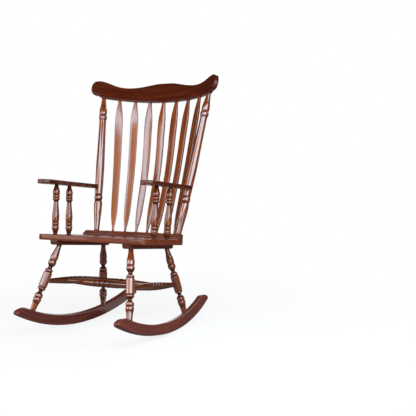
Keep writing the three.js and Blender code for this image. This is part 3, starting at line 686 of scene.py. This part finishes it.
def lacquered_wood(name, finish):
    """Stained wood under gloss lacquer: stretched grain, pores, blotchy stain, grooves darkened by dirt and
    painted shade, rubbed edges.
    """
    material = bpy.data.materials.new(name)
    tree = empty_tree(material)
    grain = attribute(tree, "grain", "Vector")
    # Rubbed wear above zero; dirt and painted shade in the grooves and creases below zero
    wear_and_shade = attribute(tree, "wear_and_shade", "Fac")
    fibre = stretched_noise(tree, grain, FIBRE_NOISE)
    pore = spread(tree, stretched_noise(tree, grain, PORE_NOISE), PORE_SPAN)
    patchy = spread(tree, stretched_noise(tree, grain, PATCH_NOISE), PATCH_SPAN)
    # Dirt and painted shade: the grooves and creases are painted darker, rougher and with less coat
    dirt_and_shade = spread(tree, wear_and_shade, DIRT_AND_SHADE_SPAN, (0, DIRT_AND_SHADE_SHARE))
    rubbed = math_node(tree, "MULTIPLY", spread(tree, wear_and_shade, RUBBED_WEAR, (0, RUBBED_SHARE)), patchy)

    colour = stain(tree, grain, fibre, finish)
    dark_pore = math_node(tree, "MULTIPLY", pore, PORE_DARKNESS)
    colour = mix_colour(tree, dark_pore, colour, opaque(scaled(finish.deep, PORE_SHADE)))
    colour = mix_colour(tree, dirt_and_shade, colour, opaque(scaled(finish.deep, DIRT_AND_SHADE_TONE)))
    colour = mix_colour(tree, rubbed, colour, opaque(RUBBED_TONE))

    fibre_rough = spread(tree, fibre, NOISE_SPAN, WOOD_ROUGHNESS)
    rough = math_node(tree, "ADD", fibre_rough, math_node(tree, "MULTIPLY", dirt_and_shade, DIRT_ROUGHNESS))
    raised = math_node(tree, "MULTIPLY", fibre, FIBRE_RELIEF)
    sunk = math_node(tree, "MULTIPLY", pore, PORE_RELIEF)
    relief = math_node(tree, "SUBTRACT", raised, sunk)
    waves = stretched_noise(tree, grain, LACQUER_NOISE)
    coat_span = (finish.coat, finish.coat * DIRTY_COAT_SHARE)
    shader = add_node(tree, "ShaderNodeBsdfPrincipled", [
        ("Base Color", colour),
        ("Roughness", rough),
        ("Specular IOR Level", 0),
        ("Normal", bump(tree, relief, WOOD_BUMP)),
        ("Coat Weight", spread(tree, dirt_and_shade, (0, DIRTY_COAT_DIRT), coat_span)),
        ("Coat Roughness", finish.coat_roughness),
        ("Coat IOR", finish.coat_ior),
        ("Coat Normal", bump(tree, waves, LACQUER_BUMP)),
    ])
    add_node(tree, "ShaderNodeOutputMaterial", [(0, shader.outputs[0])])
    return material


def steel():
    """Bright steel with fine scratches."""
    material = bpy.data.materials.new("screw_metal")
    tree = empty_tree(material)
    grain = attribute(tree, "grain", "Vector")
    scratches = stretched_noise(tree, grain, SCRATCH_NOISE)
    dark, bright = STEEL_TONES
    colour = mix_colour(tree, spread(tree, scratches, NOISE_SPAN), opaque(dark), opaque(bright))
    shader = add_node(tree, "ShaderNodeBsdfPrincipled", [
        ("Base Color", colour),
        ("Metallic", 1),
        ("Roughness", spread(tree, scratches, NOISE_SPAN, STEEL_ROUGHNESS)),
        ("Normal", bump(tree, scratches, SCRATCH_BUMP)),
    ])
    add_node(tree, "ShaderNodeOutputMaterial", [(0, shader.outputs[0])])
    return material


WOOD = {name: lacquered_wood(f"{name}_lacquer", finish) for name, finish in FINISHES.items()}
STEEL = steel()


# Rockers
def rocker_nose(end):
    """Rounded end of a rocker, from the bottom arc to the top one."""
    sign = math.copysign(1, end)
    nose = []
    for share, reach in smooth(ROCKER_NOSE_SHARES, SPLINE_STEPS["nose"]):
        nose.append(on_arc(end + sign * reach * ROCKER_NOSE_ANGLE, ROCKER_RADIUS - share * ROCKER_DEPTH))
    return nose


front_arc, rear_arc = ROCKER_ARC
inner_radius = ROCKER_RADIUS - ROCKER_DEPTH
trim = ROCKER_NOSE_SHARES[-1][1] * ROCKER_NOSE_ANGLE
bottom_angles = np.linspace(front_arc, rear_arc, ARC_POINTS["bottom"])[:-1]
top_angles = np.linspace(rear_arc + trim, front_arc - trim, ARC_POINTS["top"])[1:-1]
rocker_outline = [
    *[on_arc(angle, ROCKER_RADIUS) for angle in bottom_angles],
    *rocker_nose(rear_arc),
    *[on_arc(angle, inner_radius) for angle in top_angles],
    *rocker_nose(front_arc)[::-1],
]
rocker_outline = spaced(rocker_outline, ROCKER_POINTS, closed=True)
rocker = plate(rocker_outline, -ROCKER_WIDTH / 2, ROCKER_WIDTH / 2, ROCKER_SOFTENING)
# The grain of a rocker follows its curve, a little stretched
GRAIN_STRETCH = .8
for k, point in enumerate(rocker.verts):
    angle = math.atan2(point.x, ROCKER_RADIUS - point.y)
    radius = math.hypot(point.x, ROCKER_RADIUS - point.y)
    rocker.grain[k] = Vector((radius, point.z, angle * ROCKER_RADIUS * GRAIN_STRETCH))
both_sides("rocker", rocker, ROCKER @ ON_EDGE, WOOD["rocker"])

# Seat plank
plank_half = [(across * PLANK_HALF_WIDTH, PLANK_FRONT + back * PLANK_DEPTH) for across, back in PLANK_SHARES]
plank_edge = smooth(with_mirror_image(plank_half), SPLINE_STEPS["plank"], closed=True)
plank_outline = spaced(plank_edge, PLANK_POINTS, closed=True)
plank = plate(plank_outline, 0, PLANK_TOP, PLANK_SOFTENING, GRAIN_ALONG_X)
finish_piece("seat_plank", plank, SEAT, WOOD["seat"])


# Riser
def riser_rear(horn_back, distance):
    """Rear edge of the riser from horn to horn: the plank's own edge, moved inwards."""
    right = plank_edge[(plank_edge[:, 0] >= 0) & (plank_edge[:, 1] > horn_back)]
    right = right[np.argsort(right[:, 1])]
    run = np.vstack([right, right[::-1] * (-1, 1)])
    apart = np.linalg.norm(np.diff(run, axis=0), axis=1) > TOUCHING
    points = spaced(run[np.concatenate([[True], apart])], RISER_REAR_POINTS)
    return moved_inwards(points, np.gradient(points, axis=0), distance)


def riser_front(start, end):
    """Hollow front edge of the riser between its two horns."""
    front = []
    for share in np.linspace(0, 1, RISER_FRONT_POINTS)[1:-1]:
        x = end[0] + (start[0] - end[0]) * share
        front.append((x, start[1] + RISER_HOLLOW * (1 - (x / start[0]) ** 2)))
    return front


def seat_riser():
    """Crescent with a coved front edge and a rounded rear one."""
    piece = Piece()
    rings = []
    for share, setback, rear_inset, wear_and_shade in RISER_EDGE_SHARES:
        rear = riser_rear(RISER_HORN + setback * RISER_SETBACK, rear_inset * RISER_INSET)
        outline = [*rear, *riser_front(rear[0], rear[-1])]
        height = RISER_BOTTOM + share * (RISER_TOP - RISER_BOTTOM)
        points = [Vector((x, y, height)) for x, y in outline]
        rings.append(piece.ring(points, [GRAIN_ALONG_X @ point for point in points], [wear_and_shade] * len(points)))
    top = np.array([piece.verts[k].xy for k in rings[-1]])
    points = [Vector((x, y, RISER_TOP)) for x, y in inset(top, EDGE_BAND)]
    rings.append(piece.ring(points, [GRAIN_ALONG_X @ point for point in points], [0] * len(points)))
    return piece.loft(rings)


finish_piece("seat_riser", seat_riser(), SEAT, WOOD["seat"], sharp=RISER_SHARP_ANGLE)

# Cleats
cleat_rear = CLEAT_FRONT + CLEAT_LENGTH
front_corner, rear_corner = [], []
for turn in round_turns(CORNER_STEPS):
    less_sine, less_cosine = CLEAT_CORNER * (1 - math.sin(turn)), CLEAT_CORNER * (1 - math.cos(turn))
    front_corner.append((CLEAT_FRONT + less_cosine, CLEAT_BOTTOM + less_sine))
    rear_corner.append((cleat_rear - less_sine, CLEAT_BOTTOM + less_cosine))
cleat_outline = [(CLEAT_FRONT, CLEAT_TOP), *front_corner, *rear_corner, (cleat_rear, CLEAT_TOP)]
cleat = plate(cleat_outline, -CLEAT_WIDTH / 2, CLEAT_WIDTH / 2, CLEAT_SOFTENING)
# The grain of a cleat runs along it
cleat.grain = [Vector((point.y, point.z, point.x)) for point in cleat.verts]
both_sides("seat_cleat", cleat, CLEAT @ ON_EDGE, WOOD["seat"])


# Cleat screws
def screw(y):
    """Countersunk head, seen from below: a lathe."""
    piece = Piece()
    rows = [
        (SCREW_HEAD_RADIUS * SCREW_FLAT_SHARE, 0),
        (SCREW_HEAD_RADIUS - SCREW_RIM, SCREW_RIM_FOOT),
        (SCREW_HEAD_RADIUS, SCREW_RIM_TOP),
        (SCREW_HEAD_RADIUS * SCREW_NECK_SHARE, SCREW_DEPTH),
    ]
    rings = []
    for radius, rise in rows:
        height = CLEAT_BOTTOM + SCREW_RECESS + rise
        turns = np.linspace(0, 2 * math.pi, SCREW_SIDES, endpoint=False)
        points = [Vector((radius * math.cos(turn), y + radius * math.sin(turn), height)) for turn in turns]
        rings.append(piece.ring(points, points, [0] * len(points)))
    return piece.loft(rings)


def cut_slot(head, y, mirrored):
    """Slot across a screw head. The tool is longer than the head and stands half below it."""
    build = bmesh.new()
    bmesh.ops.create_cube(build, size=1)
    size = Matrix.Diagonal((3 * SCREW_HEAD_RADIUS, SCREW_SLOT, 2 * SCREW_SLOT_DEPTH, 1))
    slot_place = Matrix.Translation((0, y, CLEAT_BOTTOM + SCREW_RECESS)) @ rotation(SCREW_SLOT_TURN, "Z")
    build.transform(CLEAT @ slot_place @ size)
    if mirrored:
        build.transform(MIRROR)
        bmesh.ops.reverse_faces(build, faces=build.faces)
    mesh = bpy.data.meshes.new("slot_tool")
    build.to_mesh(mesh)
    build.free()
    tool = add_object("slot_tool", mesh)
    cut = head.modifiers.new("slot", "BOOLEAN")
    cut.operation = "DIFFERENCE"
    cut.object = tool
    cut.solver = "EXACT"
    graph = bpy.context.evaluated_depsgraph_get()
    head.data = bpy.data.meshes.new_from_object(head.evaluated_get(graph))
    head.modifiers.clear()
    bpy.data.objects.remove(tool)


for where, y in SCREW_PLACES.items():
    for side in ("left", "right"):
        node = f"cleat_screw_{where}_{side}"
        mirrored = side == "right"
        head = finish_piece(node, screw(y), CLEAT, STEEL, form="head", mirrored=mirrored)
        cut_slot(head, y, mirrored)

# Legs
stretcher_ends = {}
for where, y in LEG_HEADS.items():
    leg_top = CLEAT @ Vector((0, y, CLEAT_BOTTOM))
    leg_foot = ROCKER @ Vector((0, *on_arc(LEG_ANGLES[where], inner_radius)))
    stretcher_ends[where] = leg_top.lerp(leg_foot, LEG_STRETCHER_SHARES[where])
    leg = turning(leg_top, leg_foot, LEG_RUNS, LEG_RADIUS)
    both_sides(f"leg_{where}", leg, IN_PLACE, WOOD["turned"])

# Stretchers, from the middle of one carrier to the middle of the next
front_end, rear_end = stretcher_ends["front"], stretcher_ends["rear"]
side_stretcher = turning(front_end, rear_end, STRETCHER_RUNS, STRETCHER_RADIUS)
both_sides("side_stretcher", side_stretcher, IN_PLACE, WOOD["stretcher"])
for where, share in CROSS_STRETCHER_SHARES.items():
    left_end = front_end.lerp(rear_end, share)
    cross_stretcher = turning(MIRROR @ left_end, left_end, STRETCHER_RUNS, STRETCHER_RADIUS)
    finish_piece(f"cross_stretcher_{where}", cross_stretcher, IN_PLACE, WOOD["stretcher"])

# Back posts
post_foot = SEAT @ Vector((*POST_FOOT, RISER_TOP))
post_head = on_crest(POST_TOP_SPREAD, 0, 0)
back_post = turning(post_foot, post_head, POST_RUNS, POST_RADIUS)
both_sides("back_post", back_post, IN_PLACE, WOOD["turned"])


# Spindles
def slat_section(width):
    """Rounded section of a slat: place across it and through it, and the rubbing on its corners."""
    edge = width / 2
    rounding = min(SPINDLE_CORNER, edge * SPINDLE_ROUND_SHARE)
    section = []
    for side, face, first in ((1, -1, -90), (1, 1, 0), (-1, 1, 90), (-1, -1, 180)):
        for turn in np.linspace(0, 90, ROUND_STEPS):
            angle = math.radians(first + turn)
            x = side * (edge - rounding) + rounding * math.cos(angle)
            y = face * (SPINDLE_THICKNESS / 2 - rounding) + rounding * math.sin(angle)
            section.append((x, y, SPINDLE_CORNER_WEAR * math.sin(math.radians(turn * 2))))
    return section


def spindle(place):
    """Flat bowed slat from the riser to the crest. Place 0 is the middle one."""
    piece = Piece()
    order = abs(place)
    foot_back = SPINDLE_BACK * (1 - SPINDLE_FORWARD_SHARES[order])
    foot = Vector((place * SPINDLE_FOOT_PITCH, foot_back, RISER_TOP))
    head = SEAT.inverted() @ on_crest(place * SPINDLE_TOP_PITCH, 0, 0)
    length = (head - foot).length
    yaw = math.asin(place * SPINDLE_TOP_PITCH / CREST_RADIUS)
    rise = (head - foot).normalized()
    out = rise.cross(Vector((math.cos(yaw), -math.sin(yaw), 0))).normalized()
    across = out.cross(rise).normalized()
    rows = [
        (-SPINDLE_OVERRUN_SHARE, *SPINDLE_SHARES[0][1:]),
        *smooth(SPINDLE_SHARES, SPLINE_STEPS["spindle"]),
        (1 + SPINDLE_OVERRUN_SHARE, *SPINDLE_SHARES[-1][1:]),
    ]
    rings = []
    for share, width, bend in rows:
        centre = foot.lerp(head, share)
        centre.y += SPINDLE_BOW * SPINDLE_BOW_SHARES[order] * bend
        joint_darkening = max(0, 1 - min(share, 1 - share) * length / SPINDLE_JOINT_REACH)
        section = slat_section(width * SPINDLE_WIDTH)
        points = [SEAT @ (centre + across * x + out * y) for x, y, shade_and_wear in section]
        grain = [Vector((x, y, share * length)) for x, y, shade_and_wear in section]
        rings.append(piece.ring(points, grain, [shade_and_wear - joint_darkening for x, y, shade_and_wear in section]))
    return piece.loft(rings)


# Each spindle gets its own lacquer, its stain darkened by its share of painted shade
for k, shade in enumerate(SPINDLE_PAINTED_SHADES):
    deep, middle, light, *coat = SPINDLE_FINISH
    shaded_finish = Finish(scaled(deep, shade), scaled(middle, shade), scaled(light, shade), *coat)
    wood = lacquered_wood(f"spindle_shaded_lacquer_{k + 1}", shaded_finish)
    finish_piece(f"spindle_{k + 1}", spindle(k - len(SPINDLE_PAINTED_SHADES) // 2), IN_PLACE, wood)


# Crest rail
def bent_crest(flat):
    """The flat crest, cut into narrow strips and laid round its curve."""
    build = bmesh.new()
    wear_layer = build.verts.layers.float.new("wear_and_shade")
    verts = []
    for point, wear_and_shade in zip(flat.verts, flat.wear_and_shade):
        vertex = build.verts.new(point)
        vertex[wear_layer] = wear_and_shade
        verts.append(vertex)
    for face in flat.faces:
        build.faces.new([verts[k] for k in face])
    for x in CREST_CUTS:
        everything = [*build.verts, *build.edges, *build.faces]
        bmesh.ops.bisect_plane(build, geom=everything, plane_co=(x, 0, 0), plane_no=(1, 0, 0), dist=TOUCHING)
    build.verts.index_update()
    bent = Piece()
    for vertex in build.verts:
        x, z, depth = vertex.co
        bent.verts.append(on_crest(x, -depth, z))
        bent.grain.append(Vector((z, depth, CREST_RADIUS * math.asin(x / CREST_RADIUS))))
        bent.wear_and_shade.append(vertex[wear_layer])
    bent.faces = [tuple(vertex.index for vertex in face.verts) for face in build.faces]
    build.free()
    return bent


crest_half = [(across * CREST_HALF_WIDTH, rise * CREST_HEIGHT) for across, rise in CREST_OUTLINE_SHARES]
crest_edge = with_mirror_image(smooth(crest_half, SPLINE_STEPS["crest"]))
crest_outline = spaced(crest_edge, CREST_POINTS, closed=True)
flat_crest = plate(crest_outline, -CREST_THICKNESS / 2, CREST_THICKNESS / 2, CREST_SOFTENING)
finish_piece("crest_rail", bent_crest(flat_crest), IN_PLACE, WOOD["crest"])


# Arms
def arm_side(column, sign):
    """One long edge of an arm, from the front to the rear."""
    rows = []
    for row in ARM_SHARES:
        centre = ARM_FRONT_SPREAD + (ARM_REAR_SPREAD - ARM_FRONT_SPREAD) * row[0]
        rows.append((centre + sign * row[column] * ARM_WIDTH, ARM_FRONT + row[0] * ARM_LENGTH))
    return spaced(smooth(rows, SPLINE_STEPS["arm"]), ARM_SIDE_POINTS)


arm_outline = [*arm_side(1, 1), *arm_side(2, -1)[:0:-1]]
arm = plate(arm_outline, ARM_RISE, ARM_TOP, ARM_SOFTENING, GRAIN_ALONG_Y)
both_sides("arm", arm, SEAT, WOOD["arm"])
for where, (back, foot_spread, head_spread) in ARM_POSTS.items():
    foot = SEAT @ Vector((foot_spread, back, PLANK_TOP))
    head = SEAT @ Vector((head_spread, back, ARM_RISE))
    arm_post = turning(foot, head, ARM_POST_RUNS, ARM_POST_RADIUS)
    both_sides(f"arm_post_{where}", arm_post, IN_PLACE, WOOD["arm_post"])

# Studio
WHITE = (1, 1, 1, 1)
# Direction of the white backdrop, and the cosines between which mirrored rays come to see it
BACKDROP = (-.49, .87, 0)
BACKDROP_EDGE = (.93, .98)
FLOOR_RADIUS = 9
FLOOR_SIDES = 64
FLOOR_HEIGHT = -.0002
FLOOR_TONES = (.22, .22, .22), (.25, .25, .243)
FLOOR_GLOW = .79
FLOOR_CELLS = 3
FLOOR_DETAIL = 2
# Distances between which the floor turns white
FLOOR_FADE = (.55, 1.5)
ROOM_TONE = (.15, .143, .136)
MIRRORED_ROOM_TONE = (.034, .034, .037)
UPPER_ROOM_TONE = (.068, .068, .075)
UPPER_ROOM_SPAN = (.1, .8)
UPPER_ROOM_SHARE = .5


def mirrored_rays(tree):
    """One for rays that a glossy surface or glass has sent on."""
    path = tree.nodes.new("ShaderNodeLightPath")
    return math_node(tree, "MAXIMUM", path.outputs["Is Glossy Ray"], path.outputs["Is Transmission Ray"])


def sees_white(tree, direction):
    """One for the camera's rays, and for mirrored rays towards the backdrop."""
    camera_rays = tree.nodes.new("ShaderNodeLightPath").outputs["Is Camera Ray"]
    facing = vector_math(tree, "DOT_PRODUCT", direction, BACKDROP).outputs["Value"]
    in_cone = math_node(tree, "MULTIPLY", mirrored_rays(tree), spread(tree, facing, BACKDROP_EDGE))
    return math_node(tree, "MAXIMUM", camera_rays, in_cone)


def pale_floor():
    """Pale floor that keeps the chair's shadow and turns into the white backdrop away from it."""
    material = bpy.data.materials.new("pale_floor")
    tree = empty_tree(material)
    place = tree.nodes.new("ShaderNodeTexCoord").outputs["Object"]
    reach = vector_math(tree, "LENGTH", place).outputs["Value"]
    sockets = [("Vector", place), ("Scale", FLOOR_CELLS), ("Detail", FLOOR_DETAIL)]
    noise = add_node(tree, "ShaderNodeTexNoise", sockets)
    dark, bright = FLOOR_TONES
    colour = mix_colour(tree, noise.outputs["Fac"], opaque(dark), opaque(bright))
    diffuse = add_node(tree, "ShaderNodeBsdfDiffuse", [("Color", colour)]).outputs[0]
    glow = add_node(tree, "ShaderNodeEmission", [("Color", WHITE), ("Strength", FLOOR_GLOW)]).outputs[0]
    white = add_node(tree, "ShaderNodeEmission", [("Color", WHITE), ("Strength", 1)]).outputs[0]
    near = add_node(tree, "ShaderNodeAddShader", [(0, diffuse), (1, glow)]).outputs[0]
    fade = spread(tree, reach, FLOOR_FADE)
    seen = add_node(tree, "ShaderNodeMixShader", [(0, fade), (1, near), (2, white)]).outputs[0]
    shown = sees_white(tree, vector_math(tree, "NORMALIZE", place).outputs[0])
    mix = add_node(tree, "ShaderNodeMixShader", [(0, shown), (1, diffuse), (2, seen)])
    add_node(tree, "ShaderNodeOutputMaterial", [(0, mix.outputs[0])])
    return material


floor_mesh = bpy.data.meshes.new("floor")
floor_edge = []
for turn in np.linspace(0, 2 * math.pi, FLOOR_SIDES, endpoint=False):
    floor_edge.append((FLOOR_RADIUS * math.cos(turn), FLOOR_RADIUS * math.sin(turn), FLOOR_HEIGHT))
floor_mesh.from_pydata(floor_edge, [], [tuple(range(FLOOR_SIDES))])
floor_mesh.materials.append(pale_floor())
floor = add_object("floor", floor_mesh)

# Camera
CAMERA_PLACE = (2.0912, -2.9447, .8899)
CAMERA_RIGHT = (.87217, .48826, -.03097)
CAMERA_UP = (-.02476, .10728, .99395)
CAMERA_BACK = (.4886, -.8661, .1057)
CAMERA_SENSOR = 36
CAMERA_LENS = 72.694
camera_data = bpy.data.cameras.new("camera")
camera_data.sensor_width = CAMERA_SENSOR
camera_data.lens = CAMERA_LENS
camera = add_object("camera", camera_data)
camera.matrix_world = Matrix([*zip(CAMERA_RIGHT, CAMERA_UP, CAMERA_BACK, CAMERA_PLACE), (0, 0, 0, 1)])
bpy.context.scene.camera = camera


# Lamps
def softbox(name, azimuth, reach, low, high, width, radiance, colour):
    """Upright area lamp that faces the chair. Azimuth 0 is in front of it and 90 on its left."""
    angle = math.radians(azimuth)
    direction = Vector((math.sin(angle), -math.cos(angle), 0))
    data = bpy.data.lights.new(name, "AREA")
    data.shape = "RECTANGLE"
    data.size = width
    data.size_y = high - low
    data.energy = radiance * math.pi * width * (high - low)
    data.color = colour
    lamp = add_object(name, data)
    lamp.location = direction * reach + Vector((0, 0, (low + high) / 2))
    lamp.rotation_euler = direction.to_track_quat("Z", "Y").to_euler()
    lamp.visible_camera = False


DAYLIGHT = (.68, .85, 1)
PALE_DAYLIGHT = (.9, .95, 1)
SOFT_WHITE = (1, .9, .85)
WARM_WHITE = (1, .82, .72)
AMBER = (1, .5, .28)
# Azimuth, distance, lower and upper edge, width, radiance and colour
LAMPS = {
    "softbox_left": (57, 2.3, .85, 2.6, 2.8, 5.44, DAYLIGHT),
    "softbox_right": (-26, 2.3, 1.15, 2.6, .8, 5.03, DAYLIGHT),
    "softbox_far_right": (-42, 2.3, 1.45, 1.9, .5, 1.22, SOFT_WHITE),
    "softbox_high": (5, 2.3, 2.38, 2.74, 1.8, 5.78, DAYLIGHT),
    "softbox_warm": (5, 2.3, 1.35, 2.36, 1.8, 1.36, AMBER),
    "softbox_middle": (4, 2.3, .8, 1.33, 1.75, 2.86, DAYLIGHT),
    "softbox_low": (-18, 2.3, .4, .8, 1.8, .88, SOFT_WHITE),
    "softbox_low_right": (-54, 2.3, .45, 1.42, 1.6, 2.99, WARM_WHITE),
    "softbox_low_left": (62, 2.3, .02, .6, 1.4, 2.04, SOFT_WHITE),
    "softbox_rear_left": (140, 2.6, 1.5, 2.7, 1.5, 3.74, PALE_DAYLIGHT),
    "softbox_rear": (179, 2.6, 1.7, 2.9, 1.7, 4.08, PALE_DAYLIGHT),
}
for name, values in LAMPS.items():
    softbox(name, *values)


# World
def studio_world():
    """Room that is dim to mirrored rays between the lamps, and white to the camera."""
    world = bpy.data.worlds.new("studio")
    tree = empty_tree(world)
    direction = tree.nodes.new("ShaderNodeTexCoord").outputs["Generated"]
    height = add_node(tree, "ShaderNodeSeparateXYZ", [(0, direction)]).outputs["Z"]
    room = mix_colour(tree, mirrored_rays(tree), opaque(ROOM_TONE), opaque(MIRRORED_ROOM_TONE))
    upper = spread(tree, height, UPPER_ROOM_SPAN, (0, UPPER_ROOM_SHARE))
    room = mix_colour(tree, upper, room, opaque(UPPER_ROOM_TONE))
    colour = mix_colour(tree, sees_white(tree, direction), room, WHITE)
    background = add_node(tree, "ShaderNodeBackground", [("Color", colour), ("Strength", 1)])
    add_node(tree, "ShaderNodeOutputWorld", [(0, background.outputs[0])])
    return world


bpy.context.scene.world = studio_world()
bpy.context.scene.view_settings.view_transform = "Standard"
